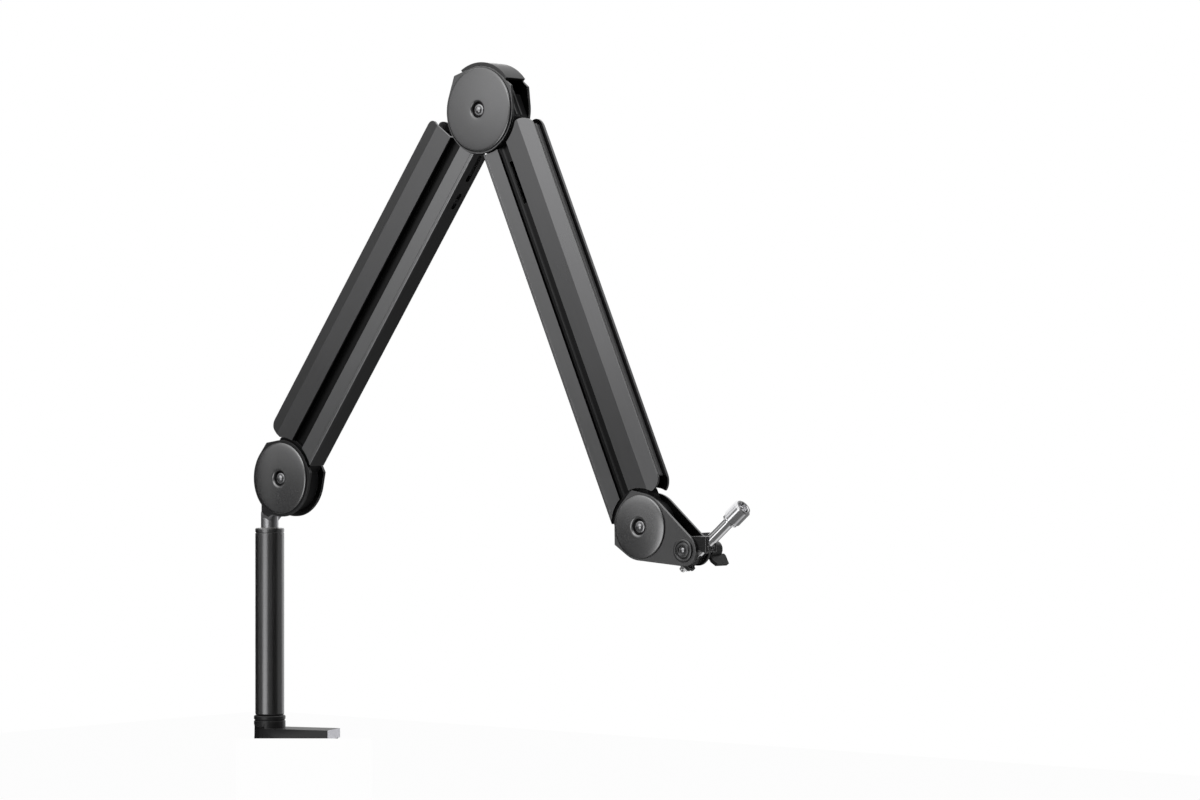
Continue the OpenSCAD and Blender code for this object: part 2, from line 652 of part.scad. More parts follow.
// Elbow: plates, block, shield and stop pin, all carried by the lower arm
module elbow_outline() {
    circle(elbow_r);
    corner(elbow_r, elbow_corner_r, 28.6);
    corner(elbow_r, elbow_r + 4.6, 133.6);
}
elbow_screw_places = [polar(33, lower_slope + 180 - 10), polar(33, lower_slope + 180 + 10)];
module at_elbow_screws() for (p = elbow_screw_places) translate([p[0], 0, p[1]]) children();
module elbow_plate() color(satin) difference() {
    yplate(plate_in, plate_out) elbow_outline();
    yrod(axle_r + fit, 0, 30);
    rotate([0, -elbow_stop_angle, 0]) translate([elbow_stop_at, 0, 0]) yrod(stop_r + fit, 0, 30);
    at_elbow_screws() {
        yrod(1.5 + fit, 0, 30);
        translate([0, plate_out - 1.6, 0]) rotate([-90, 0, 0]) cylinder(r1 = 1.5, r2 = 3.2, h = 1.7);
    }
}
module elbow_plate_front() at_pivot(elbow_p) mirror([0, 1, 0]) elbow_plate();
module elbow_plate_back() at_pivot(elbow_p) elbow_plate();
module elbow_plate_screws() at_pivot(elbow_p) color(silver) both_sides() at_elbow_screws() {
    yrod(1.5, plate_in - 5, plate_out - 1);
    translate([0, plate_out - 1.5, 0]) rotate([-90, 0, 0]) cylinder(r1 = 1.5, r2 = 2.9, h = 1.4);
}
module elbow_fork_block() color(black) difference() {
    union() {
        at_pivot(elbow_p, lower_slope) intersection() {
            ybox(-elbow_r - 0.6, 0, plate_in, -8, 11.5);
            yrod(elbow_r + 0.6, -30, 30);
        }
        in_lower() ybox(lower_len - beam_elbow_clear - 20, lower_len - 30, cavity_w / 2 - seat,
            wall + seat, beam_h - wall - seat);
    }
    at_pivot(elbow_p) {
        yrod(elbow_drum_r + 1.5, -30, 30);
        both_sides() at_elbow_screws() yrod(1.5 + fit, plate_in - 6, plate_in + 1);
    }
}
module elbow_shield() at_pivot(elbow_p) color(satin) yplate(-plate_out, plate_out) difference() {
    intersection() {
        circle(elbow_r + shield_t);
        polygon([[0, 0], polar(90, shield_from), polar(90, (shield_from + shield_to) / 2),
            polar(90, shield_to)]);
    }
    elbow_outline();
}
module elbow_axle() at_pivot(elbow_p) axle();
module elbow_cap_front() at_pivot(elbow_p) mirror([0, 1, 0]) cap(elbow_r - 1.4);
module elbow_cap_back() at_pivot(elbow_p) cap(elbow_r - 1.4);
module elbow_cap_screws() at_pivot(elbow_p) both_sides() cap_screw();
module elbow_washers() at_pivot(elbow_p) washers(elbow_stop_at - stop_r - 1);
module elbow_stop_pin() at_pivot(elbow_p) rotate([0, -elbow_stop_angle, 0]) translate([elbow_stop_at, 0, 0])
    color(silver) yrod(stop_r, -plate_out, plate_out);

// Upper arm
upper_s0 = channel_elbow_s;
upper_s1 = upper_len - channel_end_s;
upper_slit = [53, 40];
upper_spring_s1 = upper_len - beam_end_clear - shank_in - 0.3;
upper_anchor_s = upper_spring_s1 - spring_len - 0.3 - anchor_len / 2;
module upper_beam() in_upper() color(satin) difference() {
    beam(upper_len, 20, elbow_in, beam_elbow_clear, upper_len - 10, end_in, beam_end_clear);
    translate([upper_slit[0], -20, floor_n - wall - 6.5]) cube([upper_slit[1], 40, 4]);
    translate([upper_anchor_s, 0, -1]) cylinder(r = slot_w / 2 - 0.3 + fit, h = wall + 2);
    channel_screws_at(upper_s0, upper_s1) translate([0, 0, floor_n - wall - 1])
        cylinder(r = channel_screw_r + fit, h = 6);
}
module upper_channel() in_upper() color(satin)
    channel(upper_len, upper_s0, elbow_in, elbow_clear, upper_s1, end_in, end_clear, upper_corner);
module upper_cable_cover() in_upper() cable_cover(upper_s0 + 8, upper_s1 - 12);
module upper_channel_screws() in_upper() channel_screws(upper_s0, upper_s1);
module upper_elbow_tongue() in_upper() color(black) difference() {
    union() {
        translate([0, 0, elbow_in]) yrod(elbow_drum_r, -drum_side, drum_side);
        intersection() {
            ybox(0, elbow_r + 2, drum_side, elbow_in - 5, mouth_n);
            translate([0, 0, elbow_in]) yrod(elbow_r - swing, -30, 30);
        }
        shank(20, beam_elbow_clear + 30, shank_half, elbow_in - 5);
        shank(beam_elbow_clear + 0.5, beam_elbow_clear + 30);
    }
    translate([0, 0, elbow_in]) {
        bush_seats();
        yplate(-30, 30) arc_slot(elbow_stop_at, 2 * stop_r + 2 * swing,
            elbow_stop_angle - upper_slope - elbow_open - 2,
            elbow_stop_angle - upper_slope + elbow_close + 2);
    }
}
module upper_end_tongue() in_upper() color(black) difference() {
    union() {
        translate([upper_len, 0, end_in]) yrod(end_drum_r, -yoke_drum, yoke_drum);
        intersection() {
            ybox(upper_len - end_clear - 2, upper_len, yoke_drum, 1, mouth_n);
            translate([upper_len, 0, end_in]) yrod(end_clear - 0.2, -30, 30);
        }
        shank(upper_len - beam_end_clear - shank_in, upper_len - 14, min(shank_half, yoke_drum));
        shank(upper_len - beam_end_clear - shank_in, upper_len - beam_end_clear - 2);
    }
    translate([upper_len, 0, end_in]) bush_seats(yoke_drum);
}
module upper_bushes() in_upper() {
    translate([0, 0, elbow_in]) bushes();
    translate([upper_len, 0, end_in]) bushes(yoke_drum);
}
module upper_spring() in_upper() spring(upper_spring_s1 - spring_len, upper_spring_s1);
module upper_spring_anchor() in_upper() spring_anchor(upper_anchor_s);

// End link: two teardrop plates round the upper arm's end
module link_outline() {
    circle(end_r);
    corner(end_r, end_corner_r, 130);
    corner(end_r, end_corner_r, -128.8);
    translate([link_len, 0]) circle(link_tip_r);
    flank = acos((end_r - link_tip_r) / link_len);
    polygon([polar(end_r - graze, flank), polar(end_r - graze, -flank),
        [link_len, 0] + polar(link_tip_r - graze, -flank), [link_len, 0] + polar(link_tip_r - graze, flank)]);
}
module link_plate() color(satin) difference() {
    yplate(yoke_in, yoke_out) link_outline();
    yrod(axle_r + fit, 0, 30);
    translate([link_len, 0, 0]) yrod(tilt_bolt_r + fit, 0, 30);
    translate([spacer_x, 0, 0]) yrod(spacer_r + fit, 0, yoke_in + spacer_sink + fit);
}
module link_plate_front() in_link() mirror([0, 1, 0]) link_plate();
module link_plate_back() in_link() link_plate();
module link_spacer() in_link() translate([spacer_x, 0, 0]) color(black)
    ytube(spacer_r, 1.6, -yoke_in - spacer_sink, yoke_in + spacer_sink);
module end_axle() in_link() axle(yoke_out);
module end_caps() in_link() both_sides() cap(end_r - 1.6, yoke_out);
module end_cap_screws() in_link() both_sides() cap_screw(yoke_out);
module end_washers() in_link() washers(end_drum_r - 3, yoke_in);

// Tilt bolt with its dished head, the split knuckle that it clamps and the wing nut
module tilt_bolt() in_link() translate([link_len, 0, 0]) color(black) {
    mirror([0, 1, 0]) translate([0, yoke_out, 0]) rotate([-90, 0, 0]) rotate_extrude() polygon([[0, 0],
        [9.7, 0], [9.7, 1], [9.2, 1.7], [8.2, 2], [5.6, 1.8], [5, 1.1],
        [3, 1.1], [2.6, 1.8], [1.4, 2.2], [0, 2.2]]);
    yrod(tilt_bolt_r, -yoke_out - 0.5, wing_y + hub_h + 1);
    yrod(7.5, yoke_out, wing_y - seat);
}
module mic_knuckle() in_knuckle() color(black) difference() {
    union() {
        yrod(barrel_r, -yoke_in + run, yoke_in - run);
        intersection() {
            yplate(-knuckle_side, knuckle_side) polygon([[knuckle_x0, -knuckle_low],
                [knuckle_x1 - 2, -knuckle_low], [knuckle_x1, 2 - knuckle_low], [knuckle_x1, 0],
                [knuckle_x1 - 4, 3], [0, 9], [knuckle_x0, 4]]);
            xbar(-30, 30) polygon([[-lip_half, -knuckle_low], [lip_half, -knuckle_low],
                [yoke_in, 3 - rod_drop],
                [yoke_in, 20], [-yoke_in, 20], [-yoke_in, 3 - rod_drop]]);
        }
        rotate([0, rod_slope, 0]) ybox(0, 21, yoke_in - run - 0.1, -1, knuckle_top);
    }
    rotate([0, rod_slope, 0]) translate([21 - 6, 0, 0]) rotate([0, 45, 0]) ybox(-1, 20, 20, -20, 0);
    yrod(tilt_bolt_r + fit, -20, 20);
    translate([0, 0, -rod_drop]) rotate([0, 90, 0]) {
        translate([0, 0, rod_from - 0.5]) cylinder(r = shank_r + fit, h = 40);
        translate([0, 0, -20]) cylinder(r = tail_r + fit, h = 40);
    }
    ybox(-30, 40, split_w / 2, -40, -rod_drop);
}
module mic_rod() in_knuckle() translate([0, 0, -rod_drop]) rotate([0, 90, 0]) color(silver) {
    translate([0, 0, rod_from]) cylinder(r = shank_r, h = rod_shoulder - rod_from + 1);
    translate([0, 0, rod_shoulder]) cylinder(r = rod_r, h = adapter_at - 3 - rod_shoulder);
    translate([0, 0, adapter_at - 3.01]) cylinder(r = stud_r, h = adapter_len - socket_len + 3.01);
    translate([0, 0, tail_to]) cylinder(r = tail_r, h = rod_from - tail_to + 1);
    translate([0, 0, tail_nut_from]) cylinder(r = 4.2, h = 3.2, $fn = 6);
}
module thread_adapter() in_knuckle() translate([0, 0, -rod_drop]) rotate([0, 90, 0])
    color(silver) difference() {
    union() {
        translate([0, 0, adapter_at - 2.5]) cylinder(r = 7, h = 3);
        translate([0, 0, adapter_at]) cylinder(r = adapter_r, h = adapter_len - 1);
        translate([0, 0, adapter_at + adapter_len - 1]) cylinder(r1 = adapter_r, r2 = adapter_r - 0.8, h = 1);
    }
    translate([0, 0, adapter_at - 4]) cylinder(r = stud_r + fit, h = adapter_len);
    translate([0, 0, adapter_at + adapter_len - socket_len]) cylinder(r = thread_r, h = socket_len + 1);
}
module wing_nut() at_pivot(tilt_p) color(black) difference() {
    union() {
        translate([0, wing_y, 0]) rotate([-90, 0, 0]) {
            cylinder(r = 8.5, h = 2);
            translate([0, 0, 2]) cylinder(r1 = 8.1, r2 = 7, h = hub_h - 2);
            translate([0, 0, hub_h - 0.01]) cylinder(r1 = 5.6, r2 = 4.6, h = 3);
        }
        rotate([0, -wing_angle, 0]) for (a = [0, 180]) rotate([0, a, 0]) translate([0, wing_y, 0])
            translate([0, 0, -1.6]) linear_extrude(height = 3.2) {
                polygon([[3, 1], [wing_span / 2 - 4, 1], [wing_span / 2, 4.5],
                    [wing_span / 2, hub_h + 4.5], [7.4, hub_h + 6], [5.8, hub_h + 5],
                    [5.2, hub_h - 1], [3, hub_h - 1]]);
            }
    }
    yrod(tilt_bolt_r + fit, wing_y - 1, wing_y + 40);
}

clamp_frame();
jaw_pad();
clamp_collar();
riser_tube();
riser_bushes();
riser_grub_screw();
clamp_spindle();
clamp_handle();
handle_screw();
clamp_foot();
foot_pad();
base_yoke();
yoke_clip();
base_axle();
base_cap_front();
base_cap_back();
base_cap_screws();
base_washers();
base_stop_pin();
lower_beam();
lower_channel();
lower_cable_cover();
lower_tongue();
lower_bushes();
lower_channel_screws();
lower_spring();
lower_spring_anchor();
elbow_fork_block();
elbow_plate_front();
elbow_plate_back();
elbow_plate_screws();
elbow_shield();
elbow_axle();
elbow_cap_front();
elbow_cap_back();
elbow_cap_screws();
elbow_washers();
elbow_stop_pin();
upper_beam();
upper_channel();
upper_cable_cover();
upper_elbow_tongue();
upper_end_tongue();
upper_bushes();
upper_channel_screws();
upper_spring();
upper_spring_anchor();
link_plate_front();
link_plate_back();
link_spacer();
end_axle();
end_caps();
end_cap_screws();
end_washers();
tilt_bolt();
mic_knuckle();
mic_rod();
thread_adapter();
wing_nut();
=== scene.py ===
import json
import math

import bmesh
import bpy
from mathutils import Matrix, Vector

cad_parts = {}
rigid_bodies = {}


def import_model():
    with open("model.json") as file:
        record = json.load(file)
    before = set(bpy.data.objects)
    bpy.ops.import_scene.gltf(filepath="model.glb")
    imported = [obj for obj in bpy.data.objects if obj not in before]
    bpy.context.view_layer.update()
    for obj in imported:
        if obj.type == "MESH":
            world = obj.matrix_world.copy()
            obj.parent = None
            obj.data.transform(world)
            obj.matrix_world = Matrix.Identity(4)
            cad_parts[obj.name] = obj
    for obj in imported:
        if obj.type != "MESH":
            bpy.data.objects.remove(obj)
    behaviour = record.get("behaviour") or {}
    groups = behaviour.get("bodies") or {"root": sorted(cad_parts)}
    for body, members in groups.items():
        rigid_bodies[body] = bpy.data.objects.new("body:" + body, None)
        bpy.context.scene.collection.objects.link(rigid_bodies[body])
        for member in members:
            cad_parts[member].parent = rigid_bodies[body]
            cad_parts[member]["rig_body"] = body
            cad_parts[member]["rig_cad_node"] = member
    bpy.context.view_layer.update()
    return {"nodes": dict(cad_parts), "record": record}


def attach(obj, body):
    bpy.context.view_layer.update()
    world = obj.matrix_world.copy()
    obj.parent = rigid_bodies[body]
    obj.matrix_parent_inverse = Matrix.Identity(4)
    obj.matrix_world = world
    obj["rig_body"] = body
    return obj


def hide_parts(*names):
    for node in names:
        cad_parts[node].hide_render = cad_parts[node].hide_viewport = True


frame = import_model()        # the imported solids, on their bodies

# Camera: a long lens level with the middle of the arms, a little to their right.
MM = 0.001
camera_at = Vector((2504.667, -2579.571, 304.08)) * MM
camera_turn = math.radians(40)
bpy.ops.object.camera_add(location=camera_at, rotation=(math.pi / 2, 0, camera_turn))
camera = bpy.context.object
camera.data.sensor_width = 36
camera.data.lens = 120
camera.data.clip_end = 60
bpy.context.scene.camera = camera


# Studio: a white surround and a pale floor, plain white to the camera and soft in their light. A small
# white card near the camera covers the clamp below its upper jaw, where a desk top would hide it.
class Wire:
    """One output socket of a shader tree, on which arithmetic adds Math nodes."""
    def __init__(self, tree, socket=None):
        self.tree = tree
        self.socket = socket

    def node(self, kind, settings=None, inputs=None, out=0):
        """Adds a node with its settings, then the values or links of its sockets, and gives one output."""
        made =self.tree.nodes.new("ShaderNode" + kind)
        for name, value in (settings or {}).items():
            setattr(made, name, value)
        for name, value in (inputs or {}).items():
            if isinstance(value, Wire):
                self.tree.links.new(value.socket, made.inputs[name])
            else:
                made.inputs[name].default_value = value
        return Wire(self.tree, made.outputs[out])

    def maths(self, operation, *values):
        return self.node("Math", {"operation": operation}, dict(enumerate(values)))

    def vector(self, operation, *values, out=0):
        return self.node("VectorMath", {"operation": operation}, dict(enumerate(values)), out)

    def along(self, axis):
        """One part of a vector: "X", "Y" or "Z"."""
        return self.node("SeparateXYZ", None, {"Vector": self}, axis)

    def rise(self, start, end):
        """0 up to start, 1 from end on, with a soft slope between; start may be above end."""
        return self.node("MapRange", {"interpolation_type": "SMOOTHSTEP"},
                         {"Value": self, "From Min": start, "From Max": end})

    def __abs__(self):
        return self.maths("ABSOLUTE", self)

    def __add__(self, other):
        return self.maths("ADD", self, other)

    def __sub__(self, other):
        return self.maths("SUBTRACT", self, other)

    def __mul__(self, other):
        return self.maths("MULTIPLY", self, other)

    def __rsub__(self, other):
        return self.maths("SUBTRACT", other, self)

    __radd__ = __add__
    __rmul__ = __mul__


def new_material(name):
    """An empty material, its shader and a Wire to start its nodes from."""
    made = bpy.data.materials.new(name)
    made.use_nodes = True
    return made, made.node_tree.nodes["Principled BSDF"], Wire(made.node_tree)


world = bpy.data.worlds.new("studio")
bpy.context.scene.world = world
world.use_nodes = True
sky = Wire(world.node_tree)
seen = [sky.node("LightPath", out=ray) for ray in ("Is Camera Ray", "Is Glossy Ray", "Is Transmission Ray")]
seen = sky.maths("MAXIMUM", sky.maths("MAXIMUM", seen[0], seen[1]), seen[2])
shade = sky.node("Mix", {"data_type": "RGBA"}, {0: seen, 6: (0.5, 0.5, 0.51, 1), 7: (1, 1, 1, 1)}, out=2)
world.node_tree.links.new(shade.socket, world.node_tree.nodes["Background"].inputs["Color"])
bpy.context.scene.view_settings.view_transform = "Standard"

stage_white, shader, wires = new_material("stage_white")
shader.inputs["Base Color"].default_value = (0.82, 0.82, 0.82, 1)
shader.inputs["Roughness"].default_value = 0.7
glow = wires.node("Emission", None, {"Color": (1, 1, 1, 1), "Strength": 1.0})
blended = wires.node("MixShader", None, {0: wires.node("LightPath", out="Is Camera Ray") * 0.96,
                                         1: Wire(stage_white.node_tree, shader.outputs[0]), 2: glow})
surface = stage_white.node_tree.nodes["Material Output"].inputs["Surface"]
stage_white.node_tree.links.new(blended.socket, surface)

cover_width, cover_height = 0.0714, 0.0386
cover_ahead = Vector((-0.1554, 2.1, -0.197))       # from the camera: rightwards, forwards, upwards
bpy.ops.mesh.primitive_plane_add(size=1, rotation=(math.pi / 2, 0, camera_turn))
cover_card = bpy.context.object
cover_card.name = "cover_card"
cover_card.scale = (cover_width, cover_height, 1)
cover_card.location = camera_at + Matrix.Rotation(camera_turn, 3, "Z") @ cover_ahead
bpy.ops.object.transform_apply(location=True, rotation=True, scale=True)
cover_card.data.materials.append(stage_white)
cover_card.visible_diffuse = cover_card.visible_glossy = cover_card.visible_shadow = False

floor_height = -0.74
bpy.ops.mesh.primitive_plane_add(size=14, location=(0, 0, floor_height))
floor = bpy.context.object
floor.name = "floor"
floor.data.materials.append(stage_white)


# Reflector cards stand round the arm outside the picture and show only in its reflections: the
# front one is bright, those to its sides are greyer, and they darken towards the floor and the left.
def only_reflected(sheet, name, level_at):
    """A sheet that reflections alone show. It glows by itself, at the level that level_at gives a place."""
    made, shader, wires = new_material(name)
    shader.inputs["Base Color"].default_value = (0, 0, 0, 1)
    shader.inputs["Specular IOR Level"].default_value = 0.0
    shader.inputs["Emission Strength"].default_value = 1.0
    level = level_at(wires.node("TexCoord", out="Object"))
    grey = wires.node("CombineColor", None, {0: level, 1: level, 2: level})
    made.node_tree.links.new(grey.socket, shader.inputs["Emission Color"])
    sheet.name = name
    sheet.data.materials.append(made)
    sheet.visible_camera = sheet.visible_diffuse = sheet.visible_shadow = sheet.visible_transmission = False


def card_level(start, top, foot, low):
    """From foot to top above the height start, with low added near the floor; dimmer to the far left."""
    def level(place):
        height = place.along("Z")
        bright = foot + height.rise(start, start + 0.68) * (top - foot) + height.rise(0.42, 0.2) * low
        return bright * (0.4 + place.along("X").rise(-1.35, -0.75) * 0.6)
    return level


cards_round = (0.2, 0, 0)                          # the point that the cards stand round
card_distance, card_height, card_middle = 1.7, 2.3, 0.42
for name, azimuth, spread, start, top, foot, low in (
        ("card_front", -2, 34, 0.5, 2.3, 0.1, 1.3), ("card_left", -36, 34, 0.12, 1.0, 0.13, 0.0),
        ("card_far_left", -82, 54, 0.15, 0.6, 0.08, 0.0), ("card_right", 36, 38, 0.15, 0.14, 0.1, 0.0),
        ("card_far_right", 84, 56, 0.15, 0.14, 0.02, 0.0), ("card_rear_left", -128, 30, 0.1, 2.6, 0.15, 0.0),
        ("card_rear_right", 139, 54, 0.15, 0.15, 0.2, 0.0)):
    bpy.ops.mesh.primitive_plane_add(size=1, rotation=(math.pi / 2, 0, 0))
    card = bpy.context.object
    card.scale = (2 * card_distance * math.tan(math.radians(spread / 2)), card_height, 1)
    bpy.ops.object.transform_apply(location=False, rotation=True, scale=True)
    card.data.transform(Matrix.Translation(cards_round) @ Matrix.Rotation(math.radians(azimuth), 4, "Z")
                        @ Matrix.Translation((0, -card_distance, card_middle)))
    only_reflected(card, name, card_level(start, top, foot, low))

# Carpet: a dark sheet just above the floor, shown by reflections alone, so that the undersides stay
# black. It is paler round one spot, behind the arm's end.
carpet_height = -0.735
pale_spot = (0.56, 0.45, carpet_height)


def carpet_level(place):
    away = place.vector("LENGTH", place.vector("SUBTRACT", place, pale_spot), out="Value")
    return 0.14 + away.rise(0.6, 0.35) * 0.46


bpy.ops.mesh.primitive_plane_add(size=6, location=(0, 0, 0))
carpet = bpy.context.object
carpet.data.transform(Matrix.Translation((0, 0, carpet_height)))
only_reflected(carpet, "carpet", carpet_level)

# Lamps: three broad soft panels, a strong one at the right front, a weak one at the left front and
# one behind. They light the surfaces and leave no mark of their own in polished metal.
lamp_target = Vector((0.2, 0, 0.3))
for name, place, size, power, shade in (
        ("key_light", (1.9, -2.0, 2.2), 1.6, 46, (1, 0.99, 0.97)),
        ("fill_light", (-1.6, -2.4, 1.2), 1.4, 5, (0.97, 0.98, 1)),
        ("rim_light", (1.0, 2.2, 1.6), 1.4, 20, (1, 1, 1))):
    bpy.ops.object.light_add(type="AREA", location=place)
    lamp = bpy.context.object
    lamp.name = name
    lamp.data.size = size
    lamp.data.energy = power
    lamp.data.color = shade
    lamp.visible_glossy = False
    lamp.rotation_euler = (lamp_target - Vector(place)).to_track_quat("-Z", "Y").to_euler()


# Clamp casting and the collar on its column: black powder-coated iron, one C-shaped casting with
# its edges broken by the mould. The coat has a fine orange-peel skin, with painted highlights along the
# edges.
def coated(name, shade, metallic=0.0, rough=0.4, grain=900, depth=0.02, edge_highlight=0.0, edge_highlight_tone=0.35, cloud=0.16,
           drawn=None, gloss=0.5, finish_and_shade=None):
    """A coat or an uncoated metal: grain, a slow cloud in its tone, drawn lines along a slope, painted edge
    highlights.
    """
    made, shader, wires = new_material(name)
    place = wires.node("TexCoord", out="Object")
    slow = wires.node("TexNoise", None, {"Vector": place, "Scale": 16.0, "Detail": 2.0}) - 0.5
    fine = wires.node("TexNoise", None, {"Vector": place, "Scale": grain, "Detail": 2.0, "Roughness": 0.6})
    if drawn is not None:
        turned_to = wires.node("Mapping", None, {"Vector": place, "Rotation": (0, math.radians(drawn), 0)})
        drawn_out = wires.node("Mapping", None, {"Vector": turned_to, "Scale": (0.02, 1, 1)})
        fine = wires.node("TexNoise", None,
                          {"Vector": drawn_out, "Scale": grain, "Detail": 2.0, "Roughness": 0.65})
    tone = 1 + slow * cloud + (fine - 0.5) * 0.07
    # Some finishes paint light and shade into the tone: highlights, and shade in recesses, grooves and
    # between parts.
    if finish_and_shade is not None:
        tone = tone * finish_and_shade(place)
    colour = wires.node("VectorMath", {"operation": "SCALE"}, {0: tuple(shade), "Scale": tone})
    # Painted highlights: the rounded edges are lightened where they would catch the light.
    if edge_highlight:
        soft = wires.node("Bevel", {"samples": 6}, {"Radius": 0.0005})
        facing = wires.vector("DOT_PRODUCT", soft, wires.node("NewGeometry", out="Normal"), out="Value")
        edge_highlight_mask = (1 - facing).rise(0.004, 0.09) * (0.75 + slow * 0.8) * edge_highlight
        colour = wires.node("Mix", {"data_type": "RGBA"},
                            {0: edge_highlight_mask, 6: colour, 7: (edge_highlight_tone, edge_highlight_tone, edge_highlight_tone, 1)}, out=2)
    made.node_tree.links.new(colour.socket, shader.inputs["Base Color"])
    shader.inputs["Metallic"].default_value = metallic
    shader.inputs["Specular IOR Level"].default_value = gloss
    made.node_tree.links.new((rough + (fine - 0.5) * 0.08 + slow * 0.08).socket, shader.inputs["Roughness"])
    bump = wires.node("Bump", None, {"Strength": 1.0, "Distance": depth * MM, "Height": fine})
    made.node_tree.links.new(bump.socket, shader.inputs["Normal"])
    return made


def pick(piece):
    """Selects one piece alone."""
    bpy.ops.object.select_all(action="DESELECT")
    piece.select_set(True)
    bpy.context.view_layer.objects.active = piece


def copied(piece, name):
    pick(piece)
    bpy.ops.object.duplicate()
    bpy.context.object.name = name
    return bpy.context.object


def edit(piece):
    """Opens the mesh of one piece."""
    pick(piece)
    bpy.ops.object.mode_set(mode="EDIT")
    bpy.ops.mesh.select_mode(type="EDGE")


def settle(piece, angle=50):
    """Leaves edit mode, and shades broad faces flat and the rounded edges between them soft."""
    bpy.ops.object.mode_set(mode="OBJECT")
    bpy.ops.object.shade_smooth_by_angle(angle=math.radians(angle))
    weights = piece.modifiers.new("Flat faces", "WEIGHTED_NORMAL")
    weights.weight = 100
    weights.keep_sharp = True
    bpy.ops.object.modifier_apply(modifier=weights.name)


body_of = {node: body for body, nodes in frame["record"]["behaviour"]["bodies"].items() for node in nodes}


def dress(material, *nodes):
    """Puts a material on solids that stay as they are."""
    for name in nodes:
        frame["nodes"][name].data.materials.clear()
        frame["nodes"][name].data.materials.append(material)


def hang(piece, material, *nodes):
    """Puts a finished piece on the body of the solids that it stands for."""
    piece.data.materials.clear()
    piece.data.materials.append(material)
    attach(piece, body_of[nodes[0]])
    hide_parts(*nodes)


def broken_edges(name, width, material, crease=7, segments=2):
    """Stands a merged copy in for a solid, its creases of over crease degrees rounded to width mm."""
    dress(material, name)
    piece = copied(frame["nodes"][name], name + "_finished")
    piece.parent = None
    for key in ("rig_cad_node", "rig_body"):        # the marks of a solid, which the copy isn't
        if key in piece:
            del piece[key]
    edit(piece)
    bpy.ops.mesh.select_non_manifold(extend=False, use_wire=False, use_multi_face=False,
                                     use_non_contiguous=False, use_verts=False)
    bpy.ops.mesh.mark_sharp()
    bpy.ops.mesh.select_all(action="SELECT")
    bpy.ops.mesh.remove_doubles(threshold=0.000002)
    bpy.ops.mesh.customdata_custom_splitnormals_clear()
    cage = bmesh.from_edit_mesh(piece.data)
    for line in cage.edges:
        sharp = not line.smooth and line.is_manifold and line.calc_face_angle() > math.radians(crease)
        line.smooth = not sharp
    bmesh.update_edit_mesh(piece.data)
    bpy.ops.mesh.select_all(action="SELECT")
    bpy.ops.mesh.dissolve_limited(angle_limit=0.0005, delimit={"SHARP"})
    cage = bmesh.from_edit_mesh(piece.data)
    for line in cage.edges:
        line.select_set(not line.smooth)
        line.smooth = True
    bmesh.update_edit_mesh(piece.data)
    bpy.ops.mesh.bevel(offset=width * MM, offset_type="OFFSET", segments=segments, affect="EDGES",
                       clamp_overlap=True)
    settle(piece)
    hang(piece, material, name)
    return piece


riser_x, arm_y = -36.0829, -13.8509        # the riser's axis, over which the arm stands
riser_foot = Vector((riser_x, arm_y, 0)) * MM
clamp_turn = math.radians(21)
jaw_way = (math.cos(clamp_turn), math.sin(clamp_turn), 0)


def painted_tip_highlight(place):
    """Painted highlight: the end face of the upper jaw is painted pale, where it catches the light at a
    grazing angle.
    """
    out = place.vector("DOT_PRODUCT", place.vector("SUBTRACT", place, riser_foot), jaw_way, out="Value")
    return 1 + out.rise(0.0622, 0.0624) * 70


in_clamp = Matrix.Translation(riser_foot) @ Matrix.Rotation(clamp_turn, 4, "Z")
cast_black = coated("cast_black", (0.008, 0.008, 0.0085), rough=0.36, grain=1100, depth=0.03, edge_highlight=0.35,
                    edge_highlight_tone=0.12)
jaw_black = coated("jaw_black", (0.008, 0.008, 0.0085), rough=0.36, grain=1100, depth=0.03, edge_highlight=0.4,
                   edge_highlight_tone=0.14, finish_and_shade=painted_tip_highlight)
broken_edges("clamp_frame", 0.8, jaw_black)
broken_edges("clamp_collar", 0.3, cast_black)

# Pads on the upper jaw and on the screw's foot: black moulded rubber with a dull stippled face, glued
# into place so that the desk isn't marked.
rubber = coated("pad_rubber", (0.022, 0.022, 0.023), rough=0.78, grain=1500, depth=0.12, cloud=0.3)
broken_edges("jaw_pad", 0.15, rubber)
broken_edges("foot_pad", 0.15, rubber)


# Clamp screw: a bright zinc-plated steel rod, turned and cut with a coarse thread up to the swivel
# foot, which is pressed steel. The foot turns freely on the screw's tip.
def turned(name, profile, sides=64):
    """A lathe-turned solid along z: a disc drawn up ring by ring through (radius, height) in mm."""
    bpy.ops.object.select_all(action="DESELECT")
    radius, height = profile[0]
    bpy.ops.mesh.primitive_circle_add(vertices=sides, radius=radius * MM, fill_type="NGON")
    piece = bpy.context.object
    piece.name = name
    edit(piece)
    bpy.ops.mesh.select_mode(type="FACE")
    bpy.ops.mesh.select_all(action="SELECT")
    bpy.ops.transform.translate(value=(0, 0, height * MM))
    for new_radius, new_height in profile[1:]:
        bpy.ops.mesh.extrude_region_move(TRANSFORM_OT_translate={"value": (0, 0, (new_height - height) * MM)})
        if new_radius != radius:
            scale = new_radius / radius
            bpy.ops.transform.resize(value=(scale, scale, 1), center_override=(0, 0, new_height * MM))
        radius, height = new_radius, new_height
    bpy.ops.mesh.select_all(action="SELECT")
    bpy.ops.mesh.normals_make_consistent(inside=False)
    settle(piece, 35)
    return piece


